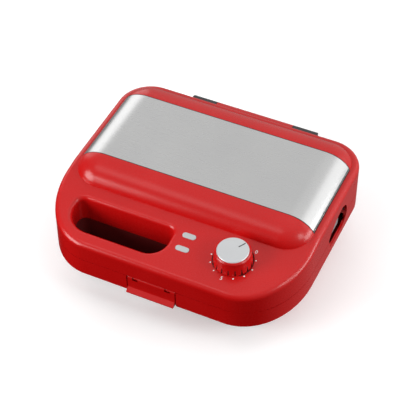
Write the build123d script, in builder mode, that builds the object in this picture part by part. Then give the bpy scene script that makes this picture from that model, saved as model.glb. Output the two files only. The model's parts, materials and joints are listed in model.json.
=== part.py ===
from build123d import *
import math
import os

# Sandwich and waffle maker with a hinged lid
# Millimetres, X across, front at -Y, +Z up, feet on z = 0.
# Sketch coordinates are taken from the middle of the body outline, which lies at y = body_y.

# Body outline and heights
side_room = 18.0
rear_room = 13.75
control_room = 75.75
front_corner_x = 55.1
front_corner_y = 74.2
rear_corner = 33.9
least_corner = 2.0
seam_height = 52.0
seam_gap = 0.6
base_wall_height = 18.5
foot_height = 6.0
shell_wall = 2.4
top_wall = 3.2
belly_step = 1.0
belly_inset = 25.0

# Lid form, heights above the seam and distances from the middle of the body
rim_height = 32.7
deck_front_height = 20.5
deck_bend_lead = 2.5
deck_bend_radius = 60.0
rim_round = 5.9
dome_height = 46.56
dome_side_rim = 6.0
dome_front_room = 90.25
dome_rear_rim = 34.75
dome_edge_width = 27.0
dome_edge_drop = 19.5

# Steel top panel
panel_thickness = 1.0
panel_glue = 0.6
panel_side_gap = 0.7
panel_end_gap = 1.3

# Hand hole at the front left
hole_side_room = 27.5
hole_width = 98.8
hole_front_room = 16.05
hole_depth = 33.2
hole_front_left = 23.0
hole_front_right = 18.0
hole_back_left = 8.0
hole_back_right = 7.0
hole_rim_round = 4.5
tunnel_wall = 2.4

# Grip windows in the side walls
window_fore = 25.0
window_aft = 21.0
window_low = -11.0
window_high = 17.0
window_slant = 6.0

# Cooking plates
plate_side_land = 8.0
plate_end_land = 9.0
plate_corner = 10.0
plate_flange = 2.4
plate_play = 1.0
plate_part_gap = 0.6
basin_width = 96.0
basin_depth = 108.0
basin_web = 8.0
basin_sink = 12.0
basin_floor = 2.2
basin_wall = 2.4
basin_taper = 12.0
knob_rows = 5
knob_columns = 4
stud_size = 12.0
stud_height = 7.5
stud_taper = 14.0
grip_length = 34.0
grip_height = 11.0
grip_thickness = 4.0
grip_sink = 5.5
ledge_thickness = 4.0

# Heater parts
pan_thickness = 1.0
pan_depth = 20.6
pan_margin = 3.0
pan_lip = 3.4
heater_radius = 3.25
heater_inset = 24.0
heater_bend = 16.0
clip_width = 6.0
clip_thickness = 0.8

# Hinge
hinge_offset = 11.25
hinge_rise = 9.3
knuckle_radius = 9.0
barrel_half = 41.0
stand_side_gap = 0.5
stand_width = 25.5
hinge_pin_radius = 2.5
pin_clearance = 0.05
bush_radius = 4.5
bush_length = 14.0
stand_corner = 4.0

# Latch
latch_left = -25.4
latch_right = 22.2
latch_height = 17.0
latch_thickness = 3.0
latch_overhang = 4.0
latch_gap = 0.6
latch_side_gap = 1.0
latch_lip = 3.2
latch_pin_radius = 1.0
latch_pivot_drop = 2.4
latch_pocket_depth = 7.5
latch_nose = 1.6
lug_width = 5.0

# Timer and lamps
timer_side_room = 63.1
timer_front_room = 37.05
timer_tilt = 3.0
knob_base_radius = 18.2
knob_top_radius = 16.6
knob_height = 13.2
knob_grooves = 18
knob_groove_radius = 0.9
knob_well_radius = 19.2
knob_well_depth = 1.2
knob_float = 0.5
cap_radius = 14.7
cap_height = 1.6
cap_sink = 1.0
shaft_radius = 3.0
shaft_hole_gap = 0.6
shaft_fit = 0.05
timer_width = 34.0
timer_depth = 16.0
lamp_hole_room = 15.4
lamp_middle_room = 37.9
lamp_spacing = 14.9
lamp_length = 13.4
lamp_width = 5.8
lamp_fit = 0.1
lamp_proud = 0.4

# Feet, cover and screws
foot_radius = 8.0
foot_side_room = 50.0
foot_hole_room = 14.5
foot_rear_room = 45.75
cover_thickness = 2.4
cover_play = 0.4
screw_radius = 1.6
screw_head_radius = 3.2
screw_head_height = 2.0
screw_length = 9.0
boss_radius = 4.2
boss_height = 12.0
boss_rib = 40.0
boss_side_room = 34.0
boss_foot_lead = 4.0

lid_screw_side_room = 14.0
lid_screw_back_x = 52.0
lid_screw_rear_room = 5.65
lid_boss_radius = 3.4

# Plate releases
release_width = 26.0
release_depth = 9.0
release_thickness = 1.5
release_travel = 3.5
release_play = 0.35

# Cord gland in the rear wall
gland_side_room = 38.0
gland_drop = 10.0
gland_radius = 6.0
gland_bore = 3.6
gland_flange = 8.0
gland_flange_thickness = 1.5

# Terminal block, thermal fuse and latch catch
block_width = 36.0
block_depth = 16.0
block_height = 10.0
block_side_room = 66.0
block_rear_room = 41.75
terminal_spacing = 12.0
terminal_radius = 2.5
terminal_sink = 6.0
fuse_radius = 2.0
fuse_length = 16.0
fuse_start = -30.0
catch_width = 30.0
catch_height = 3.0
catch_lead = 5.0

# Small rests between stacked pieces
contact_gap = 0.1
seat_gap = 0.3

# Worked out heights and places
plate_width = 2 * basin_width + basin_web + 2 * plate_side_land
plate_depth = basin_depth + 2 * plate_end_land
basin_spacing = basin_width + basin_web
body_width = plate_width + 2 * side_room
body_depth = plate_depth + rear_room + control_room
half_width = body_width / 2
half_depth = body_depth / 2
plate_centre = half_depth - rear_room - plate_depth / 2
dome_half_flat = half_width - dome_side_rim - dome_edge_width
dome_front = dome_front_room - half_depth
dome_back = half_depth - dome_rear_rim
deck_bend = dome_front - deck_bend_lead
hole_left = hole_side_room - half_width
hole_right = hole_left + hole_width
hole_front = hole_front_room - half_depth
hole_back = hole_front + hole_depth
window_front = plate_centre - window_fore
window_back = plate_centre + window_aft
grip_reach = half_width - grip_sink
timer_x = half_width - timer_side_room
timer_y = timer_front_room - half_depth
lamp_x = hole_right + lamp_hole_room
lamp_back_y = lamp_middle_room - half_depth + lamp_spacing / 2
lamp_front_y = lamp_back_y - lamp_spacing
foot_x = half_width - foot_side_room
foot_front_y = hole_back + foot_hole_room
foot_back_y = half_depth - foot_rear_room
boss_x = half_width - boss_side_room
boss_front = foot_front_y + boss_foot_lead
boss_back = foot_back_y + boss_foot_lead
lid_screw_x = half_width - lid_screw_side_room
lid_screw_front = foot_front_y
lid_screw_back = half_depth - lid_screw_rear_room
gland_x = gland_side_room - half_width
block_x = block_side_room - half_width
block_y = half_depth - block_rear_room
back_overhang = hinge_offset + knuckle_radius
body_y = (latch_overhang - back_overhang) / 2
base_top = seam_height - seam_gap / 2
lid_bottom = seam_height + seam_gap / 2
wall_bottom = seam_height - base_wall_height
rim_top = seam_height + rim_height
deck_slope = (rim_height - deck_front_height) / (half_depth + deck_bend)
dome_top = seam_height + dome_height
dome_foot = dome_top - dome_edge_drop
axis_y = half_depth + hinge_offset
stand_start = barrel_half + stand_side_gap
stand_end = stand_start + stand_width
axis_z = seam_height + hinge_rise
cover_top = foot_height + cover_thickness
pan_width = 2 * (basin_spacing / 2 + basin_width / 2 + pan_margin)
pan_length = basin_depth + 2 * pan_margin + 2 * basin_wall
flange_top = plate_part_gap / 2
flange_low = flange_top + plate_flange
lip_low = flange_low + contact_gap + pan_thickness
pan_floor = lip_low + pan_depth
heater_depth = pan_floor - pan_thickness - contact_gap - clip_thickness - heater_radius
ledge_low = lip_low + contact_gap + ledge_thickness
latch_barrel_radius = latch_thickness - latch_gap
latch_axis_y = -half_depth + latch_barrel_radius
latch_axis_z = lid_bottom - latch_gap - latch_pivot_drop
pocket_back = -half_depth + latch_pocket_depth
window_middle = (window_front + window_back) / 2


def level(height):
    """Horizontal plane at a height, centred on the body outline"""
    return Plane((0, body_y, height))


def side_plane(x=0.0):
    """Upright plane facing +X, with Y across and height up"""
    return Plane(origin=(x, body_y, 0), x_dir=(0, 1, 0), z_dir=(1, 0, 0))


def front_plane(y=0.0):
    """Upright plane facing the front, with X across and height up"""
    return Plane(origin=(0, body_y + y, 0), x_dir=(1, 0, 0), z_dir=(0, -1, 0))


def deck_plane(x, y, tilt):
    """Plane on the sloping deck, its normal tipped towards the front"""
    height = rim_top - deck_slope * (deck_bend - y)
    lean = math.radians(tilt)
    return Plane(origin=(x, body_y + y, height), x_dir=(1, 0, 0), z_dir=(0, -math.sin(lean), math.cos(lean)))


def body_outline(inset):
    """Plan outline of the body, moved inwards"""
    half = half_width - inset
    front = inset - half_depth
    back = half_depth - inset
    rx = front_corner_x - inset
    ry = front_corner_y - inset
    rr = max(rear_corner - inset, least_corner)
    with BuildLine() as outline:
        Line((rx - half, front), (half - rx, front))
        EllipticalCenterArc((half - rx, front + ry), rx, ry, 270, arc_size=90)
        Line((half, front + ry), (half, back - rr))
        CenterArc((half - rr, back - rr), rr, 0, 90)
        Line((half - rr, back), (rr - half, back))
        CenterArc((rr - half, back - rr), rr, 90, 90)
        Line((-half, back - rr), (-half, front + ry))
        EllipticalCenterArc((rx - half, front + ry), rx, ry, 180, arc_size=90)
    make_face(outline.edges())


def hand_hole(grow):
    """Plan outline of the hand hole, moved outwards"""
    left = hole_left - grow
    right = hole_right + grow
    front = hole_front - grow
    back = hole_back + grow
    fl = hole_front_left + grow
    fr = hole_front_right + grow
    bl = hole_back_left + grow
    br = hole_back_right + grow
    with BuildLine() as outline:
        Line((left + fl, front), (right - fr, front))
        CenterArc((right - fr, front + fr), fr, 270, 90)
        Line((right, front + fr), (right, back - br))
        CenterArc((right - br, back - br), br, 0, 90)
        Line((right - br, back), (left + bl, back))
        CenterArc((left + bl, back - bl), bl, 90, 90)
        Line((left, back - bl), (left, front + fl))
        CenterArc((left + fl, front + fl), fl, 180, 90)
    make_face(outline.edges())


def window_outline(grow=0.0):
    """Leaf-shaped grip window, drawn on a side plane"""
    low = seam_height + window_low - grow
    high = seam_height + window_high + grow
    front = window_front - grow
    back = window_back + grow
    waist = seam_height + (window_low + window_high) / 2
    foot_front = front + window_slant
    foot_back = back - 2 * window_slant
    peak = (front + 2 * back) / 3
    with BuildLine() as outline:
        Line((foot_front, low), (foot_back, low))
        TangentArc((foot_back, low), (back, waist), tangent=(1, 0))
        TangentArc((peak, high), (back, waist), tangent=(1, 0))
        TangentArc((peak, high), (front, waist + grow), tangent=(-1, 0))
        Line((front, waist + grow), (foot_front, low))
    make_face(outline.edges())


def rounded_box(plane, width, length, radius, height, x=0.0, y=0.0, mode=Mode.ADD, taper=0.0):
    """Upright block with rounded corners, added to the part being built"""
    with BuildSketch(plane) as block:
        with Locations((x, y)):
            RectangleRounded(width, length, radius)
    extrude(block.sketch, amount=height, mode=mode, taper=taper)


def skin_profile(y, outer, inner, rise):
    """Bent sheet over the dome between two depths, cut off a little above the rim"""
    with BuildSketch(front_plane(y)) as sheet:
        with BuildLine() as skin:
            for turn in (1, -1):
                for depth, sweep_angle in ((outer, 90), (inner, 90)):
                    start = 0 if turn > 0 else 180
                    EllipticalCenterArc((turn * dome_half_flat, dome_foot), dome_edge_width - depth,
                                        dome_edge_drop - depth, start, arc_size=turn * sweep_angle)
                Line((turn * (dome_half_flat + dome_edge_width - outer), dome_foot),
                     (turn * (dome_half_flat + dome_edge_width - inner), dome_foot))
            Line((-dome_half_flat, dome_top - outer), (dome_half_flat, dome_top - outer))
            Line((-dome_half_flat, dome_top - inner), (dome_half_flat, dome_top - inner))
        make_face(skin.edges())
        with Locations((0, rim_top + rise - dome_edge_drop)):
            Rectangle(body_width, 2 * dome_edge_drop, mode=Mode.SUBTRACT)
    return sheet


def base_form(inset, top_inset):
    """Outside of the base, or its inside when moved inwards"""
    with BuildPart() as form:
        with BuildSketch(level(wall_bottom)):
            body_outline(inset)
        extrude(amount=base_top - top_inset - wall_bottom)
        with BuildSketch(level(wall_bottom)):
            body_outline(inset + belly_step)
        with BuildSketch(level(foot_height)):
            body_outline(inset + belly_inset)
        loft(ruled=True)
    return form.part


def lid_form(inset, top_inset, rim_fillet):
    """Outside of the lid, or its inside when moved inwards"""
    width = dome_edge_width - inset
    drop = dome_edge_drop - top_inset
    front = -half_depth - 1
    with BuildPart() as form:
        with BuildSketch(level(lid_bottom)):
            body_outline(inset)
        extrude(amount=rim_top - top_inset - lid_bottom)
        with BuildSketch(side_plane()) as profile:
            with BuildLine():
                Polyline(
                    (front, lid_bottom - 1),
                    (front, rim_top - top_inset - deck_slope * (deck_bend - front)),
                    (deck_bend, rim_top - top_inset),
                    (half_depth + 1, rim_top - top_inset),
                    (half_depth + 1, lid_bottom - 1),
                    close=True,
                )
            make_face()
            bend = profile.vertices().sort_by_distance(Vector(0, body_y + deck_bend, rim_top))[0]
            fillet(bend, deck_bend_radius)
        extrude(amount=half_width, both=True, mode=Mode.INTERSECT)
        if rim_fillet > 0:
            tops = form.edges().filter_by(lambda edge: edge.bounding_box().min.Z > seam_height + rim_round)
            rim = tops.filter_by(
                lambda edge: edge.bounding_box().size.X < body_width - 1
                or edge.center().Y > body_y + half_depth - 1
            )
            fillet(rim, rim_fillet)
        with BuildSketch(front_plane(dome_back)):
            with BuildLine():
                EllipticalCenterArc((dome_half_flat, dome_foot), width, drop, 0, arc_size=90)
                Line((dome_half_flat, dome_foot + drop), (-dome_half_flat, dome_foot + drop))
                EllipticalCenterArc((-dome_half_flat, dome_foot), width, drop, 90, arc_size=90)
                Line((-dome_half_flat - width, dome_foot), (dome_half_flat + width, dome_foot))
            make_face()
        extrude(amount=dome_back - dome_front)
        with BuildSketch(side_plane(-dome_half_flat)):
            with BuildLine():
                EllipticalCenterArc((dome_back, dome_foot), width, drop, 0, arc_size=90)
                Line((dome_back, dome_foot + drop), (dome_front, dome_foot + drop))
                EllipticalCenterArc((dome_front, dome_foot), width, drop, 90, arc_size=90)
                Line((dome_front - width, dome_foot), (dome_back + width, dome_foot))
            make_face()
        extrude(amount=2 * dome_half_flat)
        corners = [
            (dome_half_flat, dome_back),
            (-dome_half_flat, dome_back),
            (-dome_half_flat, dome_front),
            (dome_half_flat, dome_front),
        ]
        for turn, (x, y) in enumerate(corners):
            angle = turn * math.pi / 2
            across = (math.cos(angle), math.sin(angle), 0)
            normal = (math.sin(angle), -math.cos(angle), 0)
            with BuildSketch(Plane(origin=(x, body_y + y, dome_foot), x_dir=across, z_dir=normal)):
                with BuildLine():
                    EllipticalCenterArc((0, 0), width, drop, 0, arc_size=90)
                    Polyline((0, drop), (0, 0), (width, 0))
                make_face()
            revolve(axis=Axis((x, body_y + y, 0), (0, 0, 1)), revolution_arc=90)
    return form.part


def flip(up):
    """Plane at the seam whose normal points into the base or into the lid"""
    if up:
        return Plane(origin=(0, body_y, seam_height), x_dir=(1, 0, 0), z_dir=(0, 0, 1))
    return Plane(origin=(0, body_y, seam_height), x_dir=(-1, 0, 0), z_dir=(0, 0, -1))


def save(item, name):
    """Label a finished piece and write it out"""
    item.part.label = name
    export_step(item.part, f"parts/{name}.step")


def both_sides():
    """Signs of the left and right side"""
    return (-1, 1)


# Screw places under the bottom cover, kept clear of the hand hole
cover_screws = [(-boss_x, boss_front), (boss_x, boss_front), (-boss_x, boss_back), (boss_x, boss_back)]
feet_places = [(sx * foot_x, y) for sx in both_sides() for y in (foot_front_y, foot_back_y)]
pan_half = pan_width / 2
pan_back = plate_centre + pan_length / 2
grip_room = grip_thickness + 2 * seat_gap
heater_half = pan_half - heater_inset
heater_leg = 14.0
heater_tail = 7.0
well_width = plate_width + plate_play
well_depth = plate_depth + plate_play
hatch_width = pan_width + 2 * contact_gap
hatch_depth = pan_length + 2 * contact_gap
pocket_left = latch_left - latch_side_gap
pocket_right = latch_right + latch_side_gap
pocket_middle = (pocket_left + pocket_right) / 2
pocket_width = pocket_right - pocket_left
release_y = plate_centre - well_depth / 2 - release_depth / 2 - 2 * shell_wall
lid_screws = [(-lid_screw_x, lid_screw_front), (lid_screw_x, lid_screw_front),
              (-lid_screw_back_x, lid_screw_back), (lid_screw_back_x, lid_screw_back)]
sink_angle = math.degrees(math.atan((screw_head_radius - screw_radius) / screw_head_height))

# Hollow of the base, with the tunnel, ledge, pocket and bosses left standing
with BuildPart() as base_hollow:
    add(base_form(shell_wall, top_wall))
    with BuildSketch(level(foot_height)):
        hand_hole(tunnel_wall)
    extrude(amount=seam_height, mode=Mode.SUBTRACT)
    rounded_box(level(seam_height - ledge_low), well_width + 8, well_depth + 8, plate_corner, ledge_low,
                y=plate_centre, mode=Mode.SUBTRACT)
    with BuildSketch(level(wall_bottom - shell_wall)):
        with Locations((pocket_middle, (pocket_back - half_depth) / 2)):
            Rectangle(pocket_width + 2 * shell_wall, pocket_back + half_depth + 2 * shell_wall)
    extrude(amount=base_wall_height + shell_wall, mode=Mode.SUBTRACT)
    with BuildSketch(level(cover_top)):
        with Locations(*cover_screws):
            Circle(boss_radius)
        for x, y in cover_screws:
            with Locations((x + math.copysign(boss_rib / 2, x), y)):
                Rectangle(boss_rib, shell_wall)
    extrude(amount=boss_height, mode=Mode.SUBTRACT)

with BuildPart() as base_shell:
    add(base_form(0, 0))
    add(base_hollow.part, mode=Mode.SUBTRACT)
    with BuildSketch(level(0)):
        hand_hole(0)
    extrude(amount=seam_height, mode=Mode.SUBTRACT)
    rounded_box(level(seam_height - lip_low - contact_gap), well_width, well_depth, plate_corner, seam_height,
                y=plate_centre, mode=Mode.SUBTRACT)
    rounded_box(level(seam_height - ledge_low - 1), hatch_width, hatch_depth, plate_corner, seam_height,
                y=plate_centre, mode=Mode.SUBTRACT)
    with BuildSketch(level(seam_height - ledge_low - 1)):
        with Locations(*[(side * (grip_reach + well_width / 2) / 2, window_middle) for side in both_sides()]):
            Rectangle(grip_reach - well_width / 2 + 2 * grip_room, grip_length + 2 * grip_room)
    extrude(amount=seam_height, mode=Mode.SUBTRACT)
    with BuildSketch(side_plane()):
        window_outline()
    extrude(amount=body_width, both=True, mode=Mode.SUBTRACT)
    with BuildSketch(level(wall_bottom - shell_wall)):
        with Locations((pocket_middle, pocket_back - latch_pocket_depth)):
            Rectangle(pocket_width, 2 * latch_pocket_depth)
    extrude(amount=base_wall_height + shell_wall, mode=Mode.SUBTRACT)
    with BuildSketch(level(cover_top)):
        with Locations(*cover_screws):
            Circle(screw_radius - pin_clearance)
    extrude(amount=screw_length, mode=Mode.SUBTRACT)
    with BuildSketch(front_plane(half_depth + 1)):
        with Locations((gland_x, seam_height - gland_drop)):
            Circle(gland_radius)
    extrude(amount=shell_wall + 2, mode=Mode.SUBTRACT)
    rounded_box(flip(False).offset(seam_gap / 2 - 1), release_width + 2 * release_play,
                release_depth + release_travel + 2 * release_play, 2, 1 + release_thickness + contact_gap,
                y=release_y - release_travel / 2, mode=Mode.SUBTRACT)
save(base_shell, "base_shell")

# Bottom cover with vents, held by screws into the bosses
with BuildPart() as bottom_cover:
    with BuildSketch(level(foot_height)):
        body_outline(belly_inset + shell_wall + cover_play)
        hand_hole_cut = hole_back + tunnel_wall + cover_play
        with Locations((0, -half_depth)):
            Rectangle(body_width, 2 * (half_depth + hand_hole_cut), mode=Mode.SUBTRACT)
    extrude(amount=cover_thickness)
    with BuildSketch(level(foot_height)):
        body_outline(belly_inset + shell_wall + cover_play)
        with Locations((-half_width, -half_depth)):
            Rectangle(2 * (half_width + hole_right + tunnel_wall + cover_play),
                      2 * (half_depth + hand_hole_cut) + 2, mode=Mode.SUBTRACT)
    extrude(amount=cover_thickness)
    with BuildSketch(level(foot_height)):
        with GridLocations(9, 0, 9, 1):
            SlotOverall(40, 3, rotation=90)
        with Locations(*cover_screws):
            Circle(screw_radius + 2 * pin_clearance)
    extrude(amount=cover_thickness, mode=Mode.SUBTRACT)
save(bottom_cover, "bottom_cover")

with BuildPart() as bottom_screws:
    with BuildSketch(level(foot_height - screw_head_height)):
        with Locations(*cover_screws):
            Circle(screw_head_radius)
    extrude(amount=screw_head_height)
    with BuildSketch(level(foot_height)):
        with Locations(*cover_screws):
            Circle(screw_radius)
    extrude(amount=cover_thickness)
    with BuildSketch(level(cover_top)):
        with Locations(*cover_screws):
            Circle(screw_radius - 2 * pin_clearance)
    extrude(amount=screw_length - 1)
save(bottom_screws, "bottom_screws")

with BuildPart() as feet:
    with BuildSketch(level(0)):
        with Locations(*feet_places):
            Circle(foot_radius - 1.5)
    with BuildSketch(level(foot_height)):
        with Locations(*feet_places):
            Circle(foot_radius)
    for low, high in zip(feet.pending_faces[:4], feet.pending_faces[4:]):
        loft([low, high])
save(feet, "rubber_feet")


def cooking_plate(up):
    """Waffle plate: flange, two tapered basins, studs and two side grips"""
    seam = flip(up)
    with BuildPart() as plate:
        rounded_box(seam.offset(flange_top), plate_width, plate_depth, plate_corner, plate_flange,
                y=plate_centre)
        outer = basin_sink + basin_floor
        for x in (-basin_spacing / 2, basin_spacing / 2):
            rounded_box(seam.offset(flange_top), basin_width, basin_depth, plate_corner, outer,
                        x=x, y=plate_centre, taper=basin_taper)
        for x in (-basin_spacing / 2, basin_spacing / 2):
            rounded_box(seam.offset(flange_top), basin_width - 2 * basin_wall, basin_depth - 2 * basin_wall,
                        plate_corner - basin_wall, basin_sink, x=x, y=plate_centre, mode=Mode.SUBTRACT,
                        taper=basin_taper)
        pitch_x = (basin_width - 4 * basin_wall) / knob_columns
        pitch_y = (basin_depth - 4 * basin_wall) / knob_rows
        root = basin_sink + flange_top + basin_floor / 2
        with BuildSketch(seam.offset(root)):
            with Locations((-basin_spacing / 2, plate_centre), (basin_spacing / 2, plate_centre)):
                with GridLocations(pitch_x, pitch_y, knob_columns, knob_rows):
                    Rectangle(stud_size, stud_size)
        extrude(amount=-stud_height, taper=stud_taper)
        for side in both_sides():
            grip_x = side * (grip_reach - grip_thickness / 2)
            bridge_x = side * (plate_width / 2 + grip_reach - grip_thickness) / 2
            with BuildSketch(seam.offset(flange_top)):
                with Locations((grip_x, window_middle)):
                    RectangleRounded(grip_thickness, grip_length, grip_thickness / 2 - contact_gap)
            extrude(amount=grip_height)
            with BuildSketch(seam.offset(flange_top)):
                with Locations((bridge_x, window_middle)):
                    Rectangle(grip_reach - grip_thickness / 2 - plate_width / 2 + 2,
                            grip_length - grip_thickness)
            extrude(amount=plate_flange)
    return plate


def reflector_pan(up):
    """Pressed pan under a cooking plate, with holes for the heater ends"""
    seam = flip(up)
    with BuildPart() as pan:
        rounded_box(seam.offset(flange_low + contact_gap), pan_width + 2 * pan_lip, pan_length + 2 * pan_lip,
                    plate_corner, pan_thickness, y=plate_centre)
        rounded_box(seam.offset(flange_low + contact_gap), pan_width, pan_length, plate_corner,
                    pan_thickness + pan_depth, y=plate_centre)
        rounded_box(seam.offset(flange_low + contact_gap), pan_width - 2 * pan_thickness,
                    pan_length - 2 * pan_thickness, plate_corner - pan_thickness, pan_depth,
                    y=plate_centre, mode=Mode.SUBTRACT)
        sides = Plane(origin=(0, body_y + pan_back, seam_height), x_dir=(1, 0, 0), z_dir=(0, 1, 0))
        height = -heater_depth if up else heater_depth
        with BuildSketch(sides):
            with Locations((-heater_leg, height), (heater_leg, height)):
                Circle(heater_radius + seat_gap)
        extrude(amount=2 * pan_thickness, both=True, mode=Mode.SUBTRACT)
    return pan


def heater_path(seam):
    """Loop of the heater tube, ending at the back"""
    near = plate_centre - pan_length / 2 + heater_inset
    far = pan_back - heater_inset
    tail = pan_back + heater_tail
    points = [
        (-heater_leg, tail),
        (-heater_leg, far),
        (-heater_half, far),
        (-heater_half, near),
        (heater_half, near),
        (heater_half, far),
        (heater_leg, far),
        (heater_leg, tail),
    ]
    return [seam.offset(heater_depth).from_local_coords(Vector(x, y, 0)) for x, y in points]


def heater(up):
    """Tubular heater with its two cold ends"""
    seam = flip(up)
    route = heater_path(seam)
    with BuildPart() as tube:
        with BuildLine() as loop:
            FilletPolyline(*route, radius=heater_bend)
        with BuildSketch(Plane(origin=route[0], z_dir=(0, -1, 0))):
            Circle(heater_radius)
        sweep(path=loop.wires()[0])
        for end in (route[0], route[-1]):
            with BuildSketch(Plane(origin=end, z_dir=(0, 1, 0))):
                Circle(heater_radius / 2)
            extrude(amount=heater_tail / 2)
    return tube


def heater_clips(up):
    """Saddle clips that hold the heater down on the pan"""
    seam = flip(up)
    inner = heater_radius + contact_gap
    with BuildPart() as clips:
        for side in both_sides():
            place = seam.offset(heater_depth).from_local_coords(Vector(side * heater_half, plate_centre, 0))
            hand = 1 if up else -1
            saddle = Plane(origin=place, x_dir=(1, 0, 0), z_dir=(0, -hand, 0))
            with BuildSketch(saddle):
                Circle(inner + clip_thickness)
                with Locations((0, (inner + clip_thickness) / 2)):
                    Rectangle(2 * (inner + clip_thickness), inner + clip_thickness)
                with Locations((0, inner + clip_thickness / 2)):
                    Rectangle(4 * inner, clip_thickness)
                Circle(inner, mode=Mode.SUBTRACT)
                with Locations((0, inner)):
                    Rectangle(2 * inner, 2 * inner, mode=Mode.SUBTRACT)
            extrude(amount=clip_width)
    return clips


for up, half in ((False, "lower"), (True, "upper")):
    save(cooking_plate(up), f"{half}_plate")
    save(reflector_pan(up), f"{half}_pan")
    save(heater(up), f"{half}_heater")
    save(heater_clips(up), f"{half}_heater_clips")

# Hollow of the lid, with the tunnel and the dial well left standing
dial = deck_plane(timer_x, timer_y, timer_tilt)
deck_lean = math.degrees(math.atan(deck_slope))
with BuildPart() as lid_hollow:
    add(lid_form(shell_wall, top_wall, 0))
    with BuildSketch(level(0)):
        hand_hole(tunnel_wall)
    extrude(amount=2 * seam_height, mode=Mode.SUBTRACT)
    with BuildSketch(level(lid_bottom + shell_wall + seat_gap)):
        with Locations(*lid_screws):
            Circle(lid_boss_radius)
    extrude(amount=seam_height, mode=Mode.SUBTRACT)
    with BuildSketch(front_plane(half_depth + hinge_offset)):
        with Locations((0, axis_z)):
            Rectangle(2 * barrel_half, 2 * knuckle_radius)
    extrude(amount=hinge_offset + 2 * shell_wall, mode=Mode.SUBTRACT)

with BuildPart() as lid_shell:
    add(lid_form(0, 0, rim_round))
    add(lid_hollow.part, mode=Mode.SUBTRACT)
    with BuildSketch(level(0)):
        hand_hole(0)
    extrude(amount=2 * seam_height, mode=Mode.SUBTRACT)
    tunnel_box = (hole_left - 1, hole_right + 1, body_y + hole_front - 1, body_y + hole_back + 1)
    mouth = lid_shell.edges().filter_by(
        lambda edge: edge.bounding_box().min.Z > seam_height + rim_round
        and edge.bounding_box().min.X > tunnel_box[0]
        and edge.bounding_box().max.X < tunnel_box[1]
        and edge.bounding_box().min.Y > tunnel_box[2]
        and edge.bounding_box().max.Y < tunnel_box[3]
    )
    fillet(mouth, hole_rim_round)
    # Recess for the steel panel
    recess = skin_profile(dome_back, 0, panel_thickness + panel_glue, 0)
    extrude(recess.sketch, amount=dome_back - dome_front, mode=Mode.SUBTRACT)
    # Windows, dial well and lamp slots
    with BuildSketch(side_plane()):
        window_outline()
    extrude(amount=body_width, both=True, mode=Mode.SUBTRACT)
    with BuildSketch(dial):
        Circle(knob_well_radius)
    extrude(amount=dome_edge_drop, mode=Mode.SUBTRACT)
    with BuildSketch(dial):
        Circle(knob_well_radius)
    extrude(amount=-knob_well_depth, mode=Mode.SUBTRACT)
    with BuildSketch(dial):
        Circle(shaft_radius + shaft_hole_gap)
    extrude(amount=-dome_edge_drop, mode=Mode.SUBTRACT)
    for lamp_y in (lamp_back_y, lamp_front_y):
        with BuildSketch(deck_plane(lamp_x, lamp_y, deck_lean)):
            SlotOverall(lamp_length, lamp_width)
        extrude(amount=2 * top_wall, both=True, mode=Mode.SUBTRACT)
    # Hinge barrel with its bore and bush seats
    with BuildSketch(side_plane(-barrel_half)):
        with Locations((axis_y, axis_z)):
            Circle(knuckle_radius)
        with BuildLine() as web:
            Polyline(
                (half_depth - shell_wall, lid_bottom),
                (axis_y, lid_bottom),
                (axis_y, axis_z + knuckle_radius),
                (half_depth - shell_wall, axis_z + knuckle_radius + shell_wall),
                close=True,
            )
        make_face(web.edges())
    extrude(amount=2 * barrel_half)
    with BuildSketch(side_plane(-barrel_half)):
        with Locations((axis_y, axis_z)):
            Circle(hinge_pin_radius + pin_clearance + seat_gap)
    extrude(amount=2 * barrel_half, mode=Mode.SUBTRACT)
    for start in (-barrel_half, barrel_half - bush_length):
        with BuildSketch(side_plane(start)):
            with Locations((axis_y, axis_z)):
                Circle(bush_radius)
        extrude(amount=bush_length, mode=Mode.SUBTRACT)
    # Lugs that carry the latch pin
    for lug in (latch_left + lug_width, latch_right - 2 * lug_width):
        with BuildSketch(side_plane(lug)):
            with Locations((latch_axis_y, latch_axis_z)):
                Circle(latch_pin_radius + latch_gap)
            with BuildLine() as arm:
                Polyline(
                    (latch_axis_y, latch_axis_z - latch_pin_radius - latch_gap),
                    (pocket_back - latch_gap, latch_axis_z - latch_pin_radius - latch_gap),
                    (pocket_back - latch_gap, lid_bottom + knuckle_radius),
                    (-half_depth + shell_wall / 2, lid_bottom + knuckle_radius),
                    (-half_depth + shell_wall / 2, lid_bottom),
                    (latch_axis_y, lid_bottom),
                    close=True,
                )
            make_face(arm.edges())
            with Locations((latch_axis_y, latch_axis_z)):
                Circle(latch_pin_radius + pin_clearance, mode=Mode.SUBTRACT)
        extrude(amount=lug_width)
    with BuildSketch(level(lid_bottom + shell_wall + seat_gap)):
        with Locations(*lid_screws):
            Circle(screw_radius - pin_clearance)
    extrude(amount=screw_length, mode=Mode.SUBTRACT)
save(lid_shell, "lid_shell")

with BuildPart() as steel_panel:
    sheet = skin_profile(dome_back - panel_side_gap, 0, panel_thickness, panel_end_gap)
    extrude(sheet.sketch, amount=dome_back - dome_front - 2 * panel_side_gap)
save(steel_panel, "steel_panel")

# Black foam that bonds the panel and shows as a dark line around it
with BuildPart() as panel_foam:
    layer = skin_profile(dome_back - contact_gap, panel_thickness + contact_gap,
                         panel_thickness + panel_glue - contact_gap, contact_gap)
    extrude(layer.sketch, amount=dome_back - dome_front - 2 * contact_gap)
save(panel_foam, "panel_foam")

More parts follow.
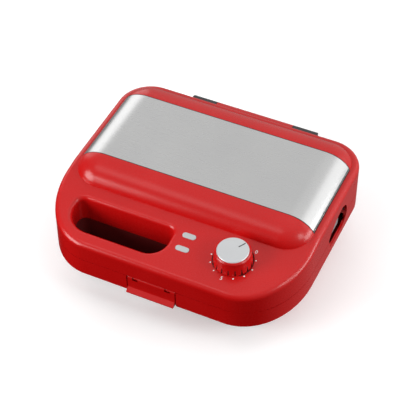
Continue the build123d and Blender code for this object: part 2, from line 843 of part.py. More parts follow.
# Inner cover of the lid, with the ledge for the upper pan and plate
with BuildPart() as lid_liner:
    with BuildSketch(level(lid_bottom)):
        body_outline(shell_wall + seat_gap)
        hand_hole_room = tunnel_wall + seat_gap
    extrude(amount=shell_wall)
    rounded_box(level(lid_bottom), well_width + 8, well_depth + 8, plate_corner, ledge_low - seam_gap / 2,
                y=plate_centre)
    with BuildSketch(level(0)):
        hand_hole(hand_hole_room)
    extrude(amount=2 * seam_height, mode=Mode.SUBTRACT)
    rounded_box(level(0), well_width, well_depth, plate_corner, seam_height + lip_low + contact_gap,
                y=plate_centre, mode=Mode.SUBTRACT)
    rounded_box(level(0), hatch_width, hatch_depth, plate_corner, 2 * seam_height,
                y=plate_centre, mode=Mode.SUBTRACT)
    with BuildSketch(level(0)):
        with Locations(*[(side * (half_width + well_width / 2) / 2, window_middle) for side in both_sides()]):
            Rectangle(half_width - well_width / 2 + 2 * grip_room, window_back - window_front)
        with Locations((pocket_middle, -half_depth)):
            Rectangle(pocket_width, 2 * latch_pocket_depth + 2 * seat_gap)
        with Locations((0, half_depth)):
            Rectangle(2 * barrel_half + 2 * seat_gap, 6 * shell_wall)
    extrude(amount=2 * seam_height, mode=Mode.SUBTRACT)
    rounded_box(flip(True).offset(seam_gap / 2 - 1), release_width + 2 * release_play,
                release_depth + release_travel + 2 * release_play, 2, 1 + release_thickness + contact_gap,
                y=release_y - release_travel / 2, mode=Mode.SUBTRACT)
    with BuildSketch(level(lid_bottom)) as holes:
        with Locations(*lid_screws):
            Circle(screw_head_radius + contact_gap)
    extrude(amount=screw_head_height, taper=sink_angle, mode=Mode.SUBTRACT)
    with BuildSketch(level(lid_bottom)):
        with Locations(*lid_screws):
            Circle(screw_radius + contact_gap)
    extrude(amount=2 * shell_wall, mode=Mode.SUBTRACT)
save(lid_liner, "lid_liner")

# Rear stands of the base, which carry the hinge pin and prop the closed maker upright
for side, name in ((-1, "left_hinge_stand"), (1, "right_hinge_stand")):
    start = stand_start if side > 0 else -stand_end
    with BuildPart() as stand:
        with BuildSketch(side_plane(start)) as profile:
            with Locations((axis_y, axis_z)):
                Circle(knuckle_radius)
            with BuildLine() as block:
                Polyline(
                    (half_depth + contact_gap, wall_bottom),
                    (axis_y + knuckle_radius, wall_bottom),
                    (axis_y + knuckle_radius, axis_z),
                    (axis_y - knuckle_radius, axis_z),
                    (half_depth + contact_gap, base_top - seat_gap),
                    close=True,
                )
            make_face(block.edges())
        extrude(amount=stand_end - stand_start)
        corner_x = side * stand_end
        with BuildSketch(level(0)) as plan:
            with Locations(((stand_start + stand_end) / 2 * side, axis_y)):
                Rectangle(stand_end - stand_start, 2 * back_overhang)
            with Locations(((stand_start + stand_end) / 2 * side, axis_y + knuckle_radius + hinge_offset)):
                Rectangle(stand_end - stand_start, 2 * hinge_offset, mode=Mode.SUBTRACT)
            tip = plan.vertices().sort_by_distance(Vector(corner_x, axis_y + knuckle_radius, 0))[0]
            fillet(tip, stand_corner)
        extrude(amount=2 * seam_height, mode=Mode.INTERSECT)
        bore_start = start if side > 0 else start + stand_corner
        with BuildSketch(side_plane(bore_start)):
            with Locations((axis_y, axis_z)):
                Circle(hinge_pin_radius + pin_clearance)
        extrude(amount=stand_end - stand_start - stand_corner, mode=Mode.SUBTRACT)
    save(stand, name)

with BuildPart() as hinge_pin:
    with BuildSketch(side_plane(-stand_end + stand_corner)):
        with Locations((axis_y, axis_z)):
            Circle(hinge_pin_radius)
    extrude(amount=2 * (stand_end - stand_corner))
save(hinge_pin, "hinge_pin")

with BuildPart() as hinge_bushes:
    for start in (-barrel_half, barrel_half - bush_length):
        with BuildSketch(side_plane(start)):
            with Locations((axis_y, axis_z)):
                Circle(bush_radius - contact_gap / 2)
                Circle(hinge_pin_radius + pin_clearance, mode=Mode.SUBTRACT)
        extrude(amount=bush_length)
save(hinge_bushes, "hinge_bushes")

# Latch with its barrel, finger lip and nose
latch_face = -half_depth
latch_low = base_top - latch_height
with BuildPart() as latch:
    with BuildSketch(side_plane(latch_left)):
        with BuildLine() as blade:
            Polyline(
                (latch_face, latch_axis_z),
                (latch_face, latch_low + latch_lip),
                (latch_face - latch_overhang, latch_low),
                (latch_face - latch_overhang, latch_low - 1),
                (latch_face + latch_thickness, latch_low - 1),
                (latch_face + latch_thickness, latch_low + latch_lip),
                (latch_face + latch_thickness + latch_nose, latch_low + latch_lip + 1),
                (latch_face + latch_thickness + latch_nose, latch_low + latch_lip + 2),
                (latch_face + latch_thickness, latch_low + latch_lip + 3),
                (latch_face + latch_thickness, latch_axis_z),
                close=True,
            )
        make_face(blade.edges())
        with Locations((latch_axis_y, latch_axis_z)):
            Circle(latch_barrel_radius)
    extrude(amount=latch_right - latch_left)
    for lug in (latch_left + lug_width, latch_right - 2 * lug_width):
        with BuildSketch(side_plane(lug - seat_gap)):
            with Locations((latch_axis_y, latch_axis_z)):
                Circle(latch_barrel_radius + seat_gap)
            with Locations((latch_axis_y + latch_barrel_radius, latch_axis_z)):
                Rectangle(2 * latch_barrel_radius, 2 * latch_barrel_radius + 2 * seat_gap)
        extrude(amount=lug_width + 2 * seat_gap, mode=Mode.SUBTRACT)
    with BuildSketch(side_plane(latch_left + 2)):
        with Locations((latch_axis_y, latch_axis_z)):
            Circle(latch_pin_radius + contact_gap / 5)
    extrude(amount=latch_right - latch_left - 4, mode=Mode.SUBTRACT)
save(latch, "latch")

with BuildPart() as latch_pin:
    with BuildSketch(side_plane(latch_left + 2)):
        with Locations((latch_axis_y, latch_axis_z)):
            Circle(latch_pin_radius)
    extrude(amount=latch_right - latch_left - 4)
save(latch_pin, "latch_pin")

catch_reach = latch_pocket_depth - latch_thickness - latch_nose - seat_gap
with BuildPart() as latch_catch:
    with BuildSketch(side_plane(pocket_middle - catch_width / 2)):
        with Locations((pocket_back - catch_reach / 2, latch_low + latch_lip + catch_lead)):
            Rectangle(catch_reach, catch_height)
    extrude(amount=catch_width)
save(latch_catch, "latch_catch")

# Timer, its shaft and the dial knob
with BuildPart() as timer_body:
    with BuildSketch(dial.offset(-top_wall - knob_well_depth - seat_gap)):
        RectangleRounded(timer_width, timer_width, 3)
    extrude(amount=-timer_depth)
    with BuildSketch(dial.offset(-top_wall - knob_well_depth - seat_gap)):
        Circle(shaft_radius + shaft_fit)
    extrude(amount=-timer_depth + 2, mode=Mode.SUBTRACT)
save(timer_body, "timer_body")

shaft_low = top_wall + knob_well_depth + timer_depth / 2
with BuildPart() as timer_shaft:
    with BuildSketch(dial.offset(-shaft_low)):
        Circle(shaft_radius)
    extrude(amount=shaft_low + knob_height / 2)
save(timer_shaft, "timer_shaft")

with BuildPart() as timer_knob:
    with BuildSketch(dial.offset(knob_float - knob_well_depth)):
        Circle(knob_base_radius)
    with BuildSketch(dial.offset(knob_height - 1)):
        Circle(knob_top_radius)
    loft()
    with BuildSketch(dial.offset(knob_height - 1)):
        Circle(knob_top_radius)
    with BuildSketch(dial.offset(knob_height)):
        Circle(knob_top_radius - 1)
    loft()
    with BuildSketch(dial.offset(knob_float - knob_well_depth - 1)):
        with PolarLocations(knob_base_radius + contact_gap, knob_grooves):
            Circle(knob_groove_radius)
    extrude(amount=knob_height, mode=Mode.SUBTRACT)
    with BuildSketch(dial.offset(knob_height - cap_sink)):
        Circle(cap_radius + contact_gap)
    extrude(amount=cap_sink, mode=Mode.SUBTRACT)
    with BuildSketch(dial.offset(-knob_well_depth)):
        Circle(shaft_radius)
    extrude(amount=knob_height / 2 + knob_well_depth, mode=Mode.SUBTRACT)
save(timer_knob, "timer_knob")

with BuildPart() as knob_cap:
    with BuildSketch(dial.offset(knob_height - cap_sink)):
        Circle(cap_radius)
    extrude(amount=cap_height)
    chamfer(knob_cap.faces().sort_by(Axis.Z)[-1].edges(), cap_height / 3)
save(knob_cap, "knob_cap")

# Lamp windows and the small board behind them
for lamp_y, name in ((lamp_back_y, "ready_lamp_lens"), (lamp_front_y, "power_lamp_lens")):
    window = deck_plane(lamp_x, lamp_y, deck_lean)
    with BuildPart() as lens:
        with BuildSketch(window.offset(-top_wall)):
            SlotOverall(lamp_length - 2 * lamp_fit, lamp_width - 2 * lamp_fit)
        extrude(amount=top_wall + lamp_proud)
        fillet(lens.faces().sort_by(Axis.Z)[-1].edges(), lamp_proud / 2)
    save(lens, name)

board = deck_plane(lamp_x, (lamp_back_y + lamp_front_y) / 2, deck_lean)
with BuildPart() as lamp_board:
    with BuildSketch(board.offset(-top_wall - seat_gap)):
        with GridLocations(0, lamp_back_y - lamp_front_y, 1, 2):
            Rectangle(lamp_length - 2, lamp_width - 1)
    extrude(amount=-5)
    with BuildSketch(board.offset(-top_wall - seat_gap - 5)):
        Rectangle(lamp_length + 4, lamp_back_y - lamp_front_y + lamp_width + 4)
    extrude(amount=-1.6)
save(lamp_board, "lamp_board")

# Thermostats on the pans
for up, half in ((False, "lower"), (True, "upper")):
    with BuildPart() as thermostat:
        under = flip(up).offset(pan_floor + contact_gap)
        with BuildSketch(under):
            with Locations((0, plate_centre)):
                Circle(8)
                SlotOverall(26, 6)
        extrude(amount=1)
        with BuildSketch(under.offset(1)):
            with Locations((0, plate_centre)):
                Circle(7)
        extrude(amount=5)
        with BuildSketch(under.offset(6)):
            with Locations((0, plate_centre)):
                with GridLocations(8, 0, 2, 1):
                    Rectangle(1, 5)
        extrude(amount=3)
    save(thermostat, f"{half}_thermostat")

# Thermal fuse, terminal block and cord gland in the base
with BuildPart() as thermal_fuse:
    with BuildSketch(Plane(origin=(fuse_start, body_y + plate_centre,
            seam_height - pan_floor - fuse_radius - 2 * contact_gap), z_dir=(1, 0, 0))):
        Circle(fuse_radius)
    extrude(amount=fuse_length)
save(thermal_fuse, "thermal_fuse")

with BuildPart() as terminal_block:
    rounded_box(level(cover_top + contact_gap), block_width, block_depth, 1.5, block_height, x=block_x,
            y=block_y)
    with BuildSketch(level(cover_top + contact_gap + block_height)):
        with Locations((block_x, block_y)):
            with GridLocations(terminal_spacing, 0, 3, 1):
                Circle(terminal_radius)
    extrude(amount=-terminal_sink, mode=Mode.SUBTRACT)
save(terminal_block, "terminal_block")

with BuildPart() as cord_gland:
    with BuildSketch(front_plane(half_depth - shell_wall - 1)):
        with Locations((gland_x, seam_height - gland_drop)):
            Circle(gland_radius - contact_gap / 2)
    extrude(amount=-shell_wall - 1 - gland_flange_thickness)
    with BuildSketch(front_plane(half_depth + contact_gap / 2)):
        with Locations((gland_x, seam_height - gland_drop)):
            Circle(gland_flange)
    extrude(amount=-gland_flange_thickness)
    with BuildSketch(front_plane(half_depth - 2 * shell_wall)):
        with Locations((gland_x, seam_height - gland_drop)):
            Circle(gland_bore)
    extrude(amount=-4 * shell_wall, mode=Mode.SUBTRACT)
save(cord_gland, "cord_gland")

# Sliding plate releases in front of the wells, one in each half
for up, half in ((False, "lower"), (True, "upper")):
    top = flip(up).offset(seam_gap / 2)
    with BuildPart() as release:
        rounded_box(top, release_width, release_depth, 2, release_thickness, y=release_y)
        with BuildSketch(top):
            with Locations((0, release_y)):
                with GridLocations(0, 2, 1, 4):
                    Rectangle(release_width - 6, 0.8)
        extrude(amount=0.5, mode=Mode.SUBTRACT)
    save(release, f"{half}_plate_release")

# Countersunk screws of the inner cover
with BuildPart() as lid_screw_set:
    with BuildSketch(level(lid_bottom)):
        with Locations(*lid_screws):
            Circle(screw_head_radius)
    extrude(amount=screw_head_height, taper=sink_angle)
    with BuildSketch(level(lid_bottom + screw_head_height / 2)):
        with Locations(*lid_screws):
            Circle(screw_radius - 2 * pin_clearance)
    extrude(amount=screw_length)
save(lid_screw_set, "lid_screws")
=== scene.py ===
import json
import math

import bmesh
import bpy
from mathutils import Matrix, Vector


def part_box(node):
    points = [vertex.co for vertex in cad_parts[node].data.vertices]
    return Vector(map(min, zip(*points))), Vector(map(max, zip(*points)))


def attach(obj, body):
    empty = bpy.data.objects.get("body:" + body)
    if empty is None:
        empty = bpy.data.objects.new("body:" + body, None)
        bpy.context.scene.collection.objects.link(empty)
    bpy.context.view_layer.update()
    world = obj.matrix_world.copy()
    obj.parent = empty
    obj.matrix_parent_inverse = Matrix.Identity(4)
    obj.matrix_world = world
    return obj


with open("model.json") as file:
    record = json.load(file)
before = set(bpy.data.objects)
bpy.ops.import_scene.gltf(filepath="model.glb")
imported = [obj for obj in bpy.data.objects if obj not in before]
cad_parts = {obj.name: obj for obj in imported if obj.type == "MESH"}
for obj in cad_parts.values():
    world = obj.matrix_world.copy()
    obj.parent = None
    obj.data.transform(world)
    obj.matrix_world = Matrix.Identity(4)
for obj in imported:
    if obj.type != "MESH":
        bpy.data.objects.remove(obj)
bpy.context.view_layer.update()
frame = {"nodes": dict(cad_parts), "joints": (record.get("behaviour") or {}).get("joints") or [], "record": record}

NODES = frame["nodes"]
JOINTS = {joint["name"]: joint for joint in frame["joints"]}
MM = 0.001


# Camera, floor and light

AZIMUTH = 25.0
ELEVATION = 46.1
ROLL = 0.107
LENS = 120.2
SENSOR_WIDTH = 36.0
NEAREST, FARTHEST = 0.05, 20.0
DISTANCE = 1.2909
TARGET = Vector((0.0133, -0.0252, 0.072))

FLOOR_GLOW = 0.25
FLOOR_HALF = 12.0
FLOOR_CELLS = 2
OBJECT_MIDDLE = (0, 0, 0.05)

# Sky, dark low in front and bright high behind: its leaning direction, then places along it and levels
SKY_LEAN = (0.3, 0.6, 0.74)
SKY_STOPS = ((0.2, 0.0), (0.5, 0.22), (1.0, 0.88))

# Soft boxes: name, place, width, height and power
SOFT_BOXES = [
    ("top_light", (-0.1, 0.1, 1.6), 1.6, 1.2, 1),
    ("top_front_light", (-0.46, -0.5, 1.44), 0.8, 0.4, 1.6),
    ("left_back_light", (-1.15, 1.0, 0.5), 1.1, 0.9, 3.6),
    ("right_back_light", (0.95, 1.0, 0.75), 0.9, 0.9, 1.6),
    ("left_front_light", (-1.0, -1.0, 0.5), 0.9, 0.8, 19),
    ("right_high_light", (1.23, -0.17, 0.82), 0.4, 0.5, 3.4),
    ("right_low_light", (1.4, 0.4, 0.3), 0.9, 0.5, 9),
]


def add_camera():
    """Camera at the photograph's viewing angle"""
    data = bpy.data.cameras.new("camera")
    data.lens = LENS
    data.sensor_width = SENSOR_WIDTH
    data.clip_start = NEAREST
    data.clip_end = FARTHEST
    camera = bpy.data.objects.new("camera", data)
    bpy.context.scene.collection.objects.link(camera)
    turn = Matrix.Rotation(math.radians(AZIMUTH), 4, "Z")
    tilt = Matrix.Rotation(math.radians(90 - ELEVATION), 4, "X")
    roll = Matrix.Rotation(math.radians(-ROLL), 4, "Z")
    pose = turn @ tilt @ roll
    pose.translation = TARGET + (turn @ tilt) @ Vector((0, 0, DISTANCE))
    camera.matrix_world = pose
    bpy.context.scene.camera = camera


def area_light(name, place, width, height, power):
    """Soft rectangular lamp pointed at the object"""
    data = bpy.data.lights.new(name, "AREA")
    data.shape = "RECTANGLE"
    data.size = width
    data.size_y = height
    data.energy = power
    lamp = bpy.data.objects.new(name, data)
    bpy.context.scene.collection.objects.link(lamp)
    lamp.location = place
    lamp.rotation_euler = (Vector(OBJECT_MIDDLE) - Vector(place)).to_track_quat("-Z", "Y").to_euler()


def add_sky():
    """Sky whose brightness follows the leaning direction"""
    world = bpy.data.worlds.new("studio")
    bpy.context.scene.world = world
    world.use_nodes = True
    tree = world.node_tree
    direction = tree.nodes.new("ShaderNodeTexCoord")
    facing = tree.nodes.new("ShaderNodeVectorMath")
    facing.operation = "DOT_PRODUCT"
    facing.inputs[1].default_value = SKY_LEAN
    half = tree.nodes.new("ShaderNodeMapRange")
    half.inputs["From Min"].default_value = -1.0
    shades = tree.nodes.new("ShaderNodeValToRGB")
    while len(shades.color_ramp.elements) < len(SKY_STOPS):
        shades.color_ramp.elements.new(0.5)
    for stop, (place, level) in zip(shades.color_ramp.elements, SKY_STOPS):
        stop.position = place
        stop.color = (level, level, level, 1)
    tree.links.new(direction.outputs["Generated"], facing.inputs[0])
    tree.links.new(facing.outputs["Value"], half.inputs["Value"])
    tree.links.new(half.outputs["Result"], shades.inputs["Fac"])
    tree.links.new(shades.outputs["Color"], tree.nodes["Background"].inputs["Color"])
    tree.nodes["Background"].inputs["Strength"].default_value = 1.0


def add_floor():
    """Pale floor, kept out of the object's reflections and bounced light"""
    mesh = bpy.data.meshes.new("floor")
    build = bmesh.new()
    bmesh.ops.create_grid(build, x_segments=FLOOR_CELLS, y_segments=FLOOR_CELLS, size=FLOOR_HALF)
    build.to_mesh(mesh)
    build.free()
    floor = bpy.data.objects.new("floor", mesh)
    bpy.context.scene.collection.objects.link(floor)
    mesh.materials.append(floor_material())
    floor.visible_glossy = False
    floor.visible_diffuse = False


def add_studio():
    """Sky, soft boxes and floor"""
    add_sky()
    bpy.context.scene.view_settings.view_transform = "Standard"
    for name, place, width, height, power in SOFT_BOXES:
        area_light(name, place, width, height, power)
    add_floor()


# Materials

SURFACE_IOR = 1.45
BLOTCH_SCALE = 18.0
NOISE_DETAIL = 2.0
GRAIN_ROUGHNESS = 0.6
COLOUR_LOW, COLOUR_HIGH = 0.3, 0.7
GLOSS_LOW, GLOSS_HIGH = 0.25, 0.75


def new_material(name):
    """New node material, its tree and its shader"""
    material = bpy.data.materials.new(name)
    material.use_nodes = True
    return material, material.node_tree, material.node_tree.nodes["Principled BSDF"]


def noise(tree, scale, roughness=0.5, stretch=None):
    """Noise over the object's own coordinates"""
    coordinates = tree.nodes.new("ShaderNodeTexCoord")
    texture = tree.nodes.new("ShaderNodeTexNoise")
    texture.inputs["Scale"].default_value = scale
    texture.inputs["Detail"].default_value = NOISE_DETAIL
    texture.inputs["Roughness"].default_value = roughness
    if stretch is None:
        tree.links.new(coordinates.outputs["Object"], texture.inputs["Vector"])
    else:
        mapping = tree.nodes.new("ShaderNodeMapping")
        mapping.inputs["Scale"].default_value = stretch
        tree.links.new(coordinates.outputs["Object"], mapping.inputs["Vector"])
        tree.links.new(mapping.outputs["Vector"], texture.inputs["Vector"])
    return texture.outputs["Fac"]


def ramp(tree, value, low, high):
    """Two-colour ramp driven by a noise value"""
    node = tree.nodes.new("ShaderNodeValToRGB")
    node.color_ramp.elements[0].position = COLOUR_LOW
    node.color_ramp.elements[0].color = (*low, 1)
    node.color_ramp.elements[1].position = COLOUR_HIGH
    node.color_ramp.elements[1].color = (*high, 1)
    tree.links.new(value, node.inputs["Fac"])
    return node.outputs["Color"]


def spread(tree, value, low, high):
    """Map a noise value to a range of numbers"""
    node = tree.nodes.new("ShaderNodeMapRange")
    node.inputs["From Min"].default_value = GLOSS_LOW
    node.inputs["From Max"].default_value = GLOSS_HIGH
    node.inputs["To Min"].default_value = low
    node.inputs["To Max"].default_value = high
    tree.links.new(value, node.inputs["Value"])
    return node.outputs["Result"]


def bump(tree, shader, value, strength, distance):
    """Fine relief on a shader's normal"""
    node = tree.nodes.new("ShaderNodeBump")
    node.inputs["Strength"].default_value = strength
    node.inputs["Distance"].default_value = distance
    tree.links.new(value, node.inputs["Height"])
    tree.links.new(node.outputs["Normal"], shader.inputs["Normal"])


def surface(name, low, high, rough, metallic=0.0, grain=900.0, relief=0.1, depth=0.00005, stretch=None):
    """Procedural surface: slow colour drift, grainy gloss and fine relief"""
    material, tree, shader = new_material(name)
    drift = noise(tree, BLOTCH_SCALE)
    tree.links.new(ramp(tree, drift, low, high), shader.inputs["Base Color"])
    fine = noise(tree, grain, GRAIN_ROUGHNESS, stretch)
    tree.links.new(spread(tree, fine, *rough), shader.inputs["Roughness"])
    shader.inputs["Metallic"].default_value = metallic
    shader.inputs["IOR"].default_value = SURFACE_IOR
    bump(tree, shader, fine, relief, depth)
    return material


def floor_material():
    """Pale studio floor with a faint glow of its own"""
    material = surface("studio_floor", (0.87, 0.87, 0.87), (0.9, 0.9, 0.9), (0.6, 0.7), grain=60.0,
                       relief=0.02)
    shader = material.node_tree.nodes["Principled BSDF"]
    shader.inputs["Emission Color"].default_value = (1, 1, 1, 1)
    shader.inputs["Emission Strength"].default_value = FLOOR_GLOW
    return material


RED = surface("red_plastic", (0.52, 0.004, 0.004), (0.56, 0.006, 0.006), (0.22, 0.30), grain=2600.0,
              relief=0.22, depth=0.00004)
DARK = surface("dark_plastic", (0.030, 0.030, 0.032), (0.045, 0.045, 0.047), (0.5, 0.62), grain=2200.0,
               relief=0.3)
STEEL = surface("brushed_steel", (0.60, 0.60, 0.60), (0.63, 0.63, 0.625), (0.26, 0.32), metallic=1.0,
                grain=1800.0, relief=0.02, depth=0.000004, stretch=(0.02, 1.0, 1.0))
PLAIN = surface("plain_steel", (0.42, 0.42, 0.42), (0.52, 0.52, 0.51), (0.3, 0.42), metallic=1.0,
                grain=600.0)
PLATE = surface("coated_plate", (0.52, 0.52, 0.515), (0.60, 0.60, 0.595), (0.34, 0.46), metallic=0.6,
                grain=1800.0, relief=0.35, depth=0.00006)
RUBBER = surface("rubber", (0.022, 0.022, 0.022), (0.032, 0.032, 0.032), (0.7, 0.85), grain=1200.0,
                 relief=0.4)
LAMP = surface("lamp_lens", (0.44, 0.46, 0.46), (0.52, 0.54, 0.54), (0.18, 0.26), grain=700.0)
CAP = surface("knob_metal", (0.60, 0.61, 0.62), (0.66, 0.67, 0.68), (0.4, 0.5), metallic=0.35, relief=0.05)
BOARD = surface("circuit_board", (0.02, 0.10, 0.04), (0.03, 0.16, 0.06), (0.4, 0.5), grain=500.0)
# Painted shade: darker copies of the red plastic for the knob's grooves, the dial's well and the hand hole's walls
RED_SHADE = surface("red_plastic_in_shade", (0.10, 0.002, 0.002), (0.13, 0.003, 0.003), (0.5, 0.6),
                    grain=2600.0)
RED_DEEP_PAINTED_SHADE = surface("red_plastic_painted_shade_deep_inside", (0.10, 0.003, 0.003), (0.13, 0.004, 0.004), (0.6, 0.7),
                   grain=2600.0)
PRINT = surface("white_print", (0.80, 0.80, 0.79), (0.86, 0.86, 0.85), (0.5, 0.6), grain=800.0)
# Black print for the knob's pointer; also used as painted shadow for the strip in the gap around the steel panel
INK_AND_GAP_SHADOW = surface("black_print_and_painted_gap_shadow", (0.002, 0.002, 0.002), (0.004, 0.004, 0.004), (0.75, 0.85), grain=800.0)

SLOT_LOOK = {
    "red_shell": RED,
    "dark_plastic": DARK,
    "steel_skin": STEEL,
    "plain_steel": PLAIN,
    "coated_plate": PLATE,
    "rubber": RUBBER,
    "lamp_lens": LAMP,
    "knob_metal": CAP,
    "circuit_board": BOARD,
}


def dress_nodes():
    """Give every carried-over piece the look of its slot"""
    for part in frame["record"]["subparts"]:
        node = NODES[part["node"]]
        node.data.materials.clear()
        node.data.materials.append(SLOT_LOOK[part["material_slot"]])


# Painted shade: darker red in the knob's grooves, the dial's well and the hand hole

GROOVE_INNER_RADIUS = 14.4 * MM
GROOVE_LEAST_DEPTH = 0.25 * MM
GROOVE_TOP = 12 * MM
KNOB_ROOT_RADIUS = 18.2 * MM
KNOB_TAPER = 0.121
WELL_RADIUS = 19.3 * MM
WELL_FLOOR = -3 * MM
HOLE_LEFT, HOLE_RIGHT = -100 * MM, 2 * MM
HOLE_FRONT, HOLE_BACK = -101.5 * MM, -65 * MM
UPRIGHT_NORMAL_LIMIT = 0.4


def paint_shade_on_faces(node, material, test):
    """Give the faces that pass a test a second, darker material as painted shade; the mesh stays as it is"""
    mesh = NODES[node].data
    mesh.materials.append(material)
    index = len(mesh.materials) - 1
    for face in mesh.polygons:
        if test(face):
            face.material_index = index


def dial_place(point):
    """Distance from the dial's axis and height above its centre"""
    joint = JOINTS["timer_turn"]
    axis = Vector(joint["axis"])
    arm = point - Vector(joint["pos_m"])
    height = arm.dot(axis)
    return (arm - axis * height).length, height


def in_groove(face):
    """Faces of the grooves, which lie deeper than the knob's cone"""
    radius, height = dial_place(face.center)
    cone = KNOB_ROOT_RADIUS - KNOB_TAPER * height
    return GROOVE_INNER_RADIUS < radius < cone - GROOVE_LEAST_DEPTH and height < GROOVE_TOP


def in_well(face):
    """Floor and wall of the recess round the dial"""
    radius, height = dial_place(face.center)
    return radius < WELL_RADIUS and height > WELL_FLOOR


def in_hand_hole(face):
    """Upright walls of the hand hole in the base"""
    across = HOLE_LEFT < face.center.x < HOLE_RIGHT
    along = HOLE_FRONT < face.center.y < HOLE_BACK
    upright = abs(face.normal.z) < UPRIGHT_NORMAL_LIMIT
    return across and along and upright


def shade_recesses():
    """Painted shade: darker second materials where little light reaches"""
    paint_shade_on_faces("timer_knob", RED_SHADE, in_groove)
    paint_shade_on_faces("lid_shell", RED_SHADE, in_well)
    paint_shade_on_faces("base_shell", RED_DEEP_PAINTED_SHADE, in_hand_hole)


# Printed marks

DECK_RISE = 0.139
PRINT_LIFT = 0.04 * MM
PRINT_THICKNESS = 0.1 * MM
PRINT_TOP_SHARE = 0.94
DOT_RING = 20.5 * MM
DOT_RADIUS = 0.72 * MM
DOT_ANGLES = (19, -10, -37.5, -66, -123.4, -150.3, -175)
NUMERALS = (("0", 44.0), ("5", -94.0))
NUMERAL_HEIGHT = 3.6 * MM
NUMERAL_SHARE_OF_SIZE = 0.7
NUMERAL_RING = 22.2 * MM
POINTER_ANGLE = 58.0
POINTER_START = 6.4 * MM
POINTER_END = 13.2 * MM
POINTER_HALF_WIDTH = 0.42 * MM
ROUND_STEPS = 20


def add_piece(name, mesh, material, body):
    """Object for a mesh, with its material, riding on a body"""
    piece = bpy.data.objects.new(name, mesh)
    bpy.context.scene.collection.objects.link(piece)
    mesh.materials.append(material)
    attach(piece, body)


def finish_mesh(name, build):
    """Mesh from a finished build"""
    mesh = bpy.data.meshes.new(name)
    build.to_mesh(mesh)
    build.free()
    return mesh


def prism(build, points, height):
    """Closed flat prism over an outline, its edge softened by a narrower top"""
    middle = sum((Vector((x, y, 0)) for x, y in points), Vector()) / len(points)
    low = [build.verts.new((x, y, 0)) for x, y in points]
    rise = Vector((0, 0, height))
    inner = [middle.lerp(Vector((x, y, 0)), PRINT_TOP_SHARE) + rise for x, y in points]
    top = [build.verts.new(place) for place in inner]
    build.faces.new(list(reversed(low)))
    build.faces.new(top)
    for index in range(len(points)):
        after = (index + 1) % len(points)
        build.faces.new((low[index], low[after], top[after], top[index]))


def tilted(place, normal):
    """Matrix of a plane at a place, its X axis kept along the object's width"""
    up = Vector(normal).normalized()
    across = Vector((1, 0, 0))
    away = up.cross(across)
    matrix = Matrix((across, away, up)).transposed().to_4x4()
    matrix.translation = Vector(place) + up * PRINT_LIFT
    return matrix


def deck_matrix():
    """Plane of the deck at the dial's centre"""
    return tilted(JOINTS["timer_turn"]["pos_m"], (0, -DECK_RISE, 1))


def polar(radius, angle):
    """Point at a radius and an angle in degrees"""
    turn = math.radians(angle)
    return radius * math.cos(turn), radius * math.sin(turn)


def circle(centre, radius):
    """Outline of a round dot"""
    steps = [polar(radius, 360 * step / ROUND_STEPS) for step in range(ROUND_STEPS)]
    return [(centre[0] + x, centre[1] + y) for x, y in steps]


def add_dial_dots():
    """White dots around the dial"""
    build = bmesh.new()
    for angle in DOT_ANGLES:
        prism(build, circle(polar(DOT_RING, angle), DOT_RADIUS), PRINT_THICKNESS)
    build.transform(deck_matrix())
    add_piece("dial_dots", finish_mesh("dial_dots", build), PRINT, "lid")


def text_mesh(name, words, height):
    """Flat mesh of a short text, centred on its origin"""
    curve = bpy.data.curves.new(name, "FONT")
    curve.body = words
    curve.size = height / NUMERAL_SHARE_OF_SIZE
    curve.align_x = "CENTER"
    curve.align_y = "CENTER"
    curve.extrude = PRINT_THICKNESS / 2
    holder = bpy.data.objects.new(name, curve)
    mesh = bpy.data.meshes.new_from_object(holder)
    bpy.data.objects.remove(holder)
    return mesh


def add_numerals():
    """Plain numbers at the off place and on the dial's scale"""
    for words, angle in NUMERALS:
        mesh = text_mesh("numeral_" + words, words, NUMERAL_HEIGHT)
        x, y = polar(NUMERAL_RING, angle)
        mesh.transform(deck_matrix() @ Matrix.Translation((x, y, PRINT_THICKNESS / 2)))
        add_piece("dial_numeral_" + words, mesh, PRINT, "lid")


def add_pointer():
    """Black line on the knob's cap"""
    start, end = polar(POINTER_START, POINTER_ANGLE), polar(POINTER_END, POINTER_ANGLE)
    outline = []
    for centre, first in ((start, POINTER_ANGLE + 90), (end, POINTER_ANGLE - 90)):
        for step in range(ROUND_STEPS // 2 + 1):
            x, y = polar(POINTER_HALF_WIDTH, first + 360 * step / ROUND_STEPS)
            outline.append((centre[0] + x, centre[1] + y))
    build = bmesh.new()
    prism(build, outline, PRINT_THICKNESS)
    joint = JOINTS["timer_turn"]
    axis = Vector(joint["axis"])
    cap = NODES["knob_cap"].data
    lift = max((vertex.co - Vector(joint["pos_m"])).dot(axis) for vertex in cap.vertices)
    build.transform(tilted(Vector(joint["pos_m"]) + axis * lift, axis))
    add_piece("knob_pointer", finish_mesh("knob_pointer", build), INK_AND_GAP_SHADOW, "dial")


# Painted shadow: a black strip in the gap around the steel panel, standing in for the shadow there

PANEL_FLAT = 93.0 * MM
PANEL_EDGE_WIDTH = 27.0 * MM
PANEL_EDGE_DROP = 19.5 * MM
GAP_SHADOW_SINK = 0.02 * MM
GAP_SHADOW_DEPTH = 1.0 * MM
GAP_SHADOW_AIR = 0.02 * MM
GAP_SHADOW_LAP = 0.4 * MM
GAP_SHADOW_END_PROUD = 0.03 * MM
GAP_SHADOW_END_HEIGHT = 2.3 * MM
ARC_STEPS = 24


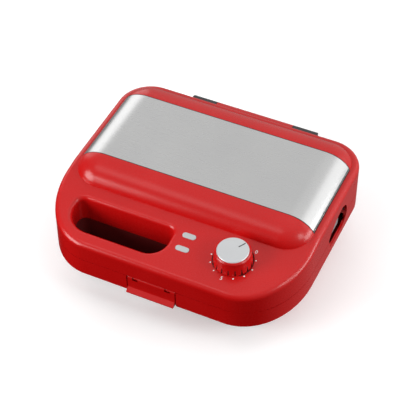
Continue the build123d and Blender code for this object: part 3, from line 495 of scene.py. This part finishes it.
def skin_points(depth, lowest):
    """Section of the bent panel at a depth, from its right end to its left, as X and Z"""
    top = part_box("steel_panel")[1][2]
    foot = top - PANEL_EDGE_DROP
    wide, drop = PANEL_EDGE_WIDTH - depth, PANEL_EDGE_DROP - depth
    start = math.asin((lowest - foot) / PANEL_EDGE_DROP)
    arc = []
    for step in range(ARC_STEPS + 1):
        turn = start + (math.pi / 2 - start) * step / ARC_STEPS
        arc.append((PANEL_FLAT + wide * math.cos(turn), foot + drop * math.sin(turn)))
    return arc + [(-x, z) for x, z in reversed(arc)]


def bent_strip(build, outer, inner, front, back):
    """Closed strip between two sections, from a front place to a back place"""
    loops = []
    for high, low in zip(outer, inner):
        corners = ((high, front), (high, back), (low, back), (low, front))
        loops.append([build.verts.new((point[0], y, point[1])) for point, y in corners])
    for first, second in zip(loops, loops[1:]):
        for side in range(4):
            after = (side + 1) % 4
            build.faces.new((first[side], first[after], second[after], second[side]))
    build.faces.new(list(reversed(loops[0])))
    build.faces.new(loops[-1])


def add_panel_gap_shadow():
    """Black strip of painted shadow that shows as a thin dark line in the gap around the steel panel"""
    low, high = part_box("steel_panel")
    foam_low, foam_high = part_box("panel_foam")
    outer = skin_points(GAP_SHADOW_SINK, low[2])
    inner = skin_points(GAP_SHADOW_DEPTH, low[2])
    build = bmesh.new()
    bent_strip(build, outer, inner, foam_low[1] - GAP_SHADOW_LAP, low[1] - GAP_SHADOW_AIR)
    bent_strip(build, outer, inner, high[1] + GAP_SHADOW_AIR, foam_high[1] + GAP_SHADOW_LAP)
    rim = foam_low[2]
    for side in (1, -1):
        ends = []
        for depth in (-GAP_SHADOW_END_PROUD, GAP_SHADOW_DEPTH):
            edges = (skin_points(depth, rim), skin_points(depth, rim + GAP_SHADOW_END_HEIGHT))
            ends.append([points[0 if side > 0 else -1] for points in edges])
        bent_strip(build, ends[0], ends[1], foam_low[1], foam_high[1])
    bmesh.ops.recalc_face_normals(build, faces=build.faces)
    add_piece("panel_gap_painted_shadow", finish_mesh("panel_gap_painted_shadow", build), INK_AND_GAP_SHADOW, "lid")


add_camera()
add_studio()
dress_nodes()
shade_recesses()
add_dial_dots()
add_numerals()
add_pointer()
add_panel_gap_shadow()
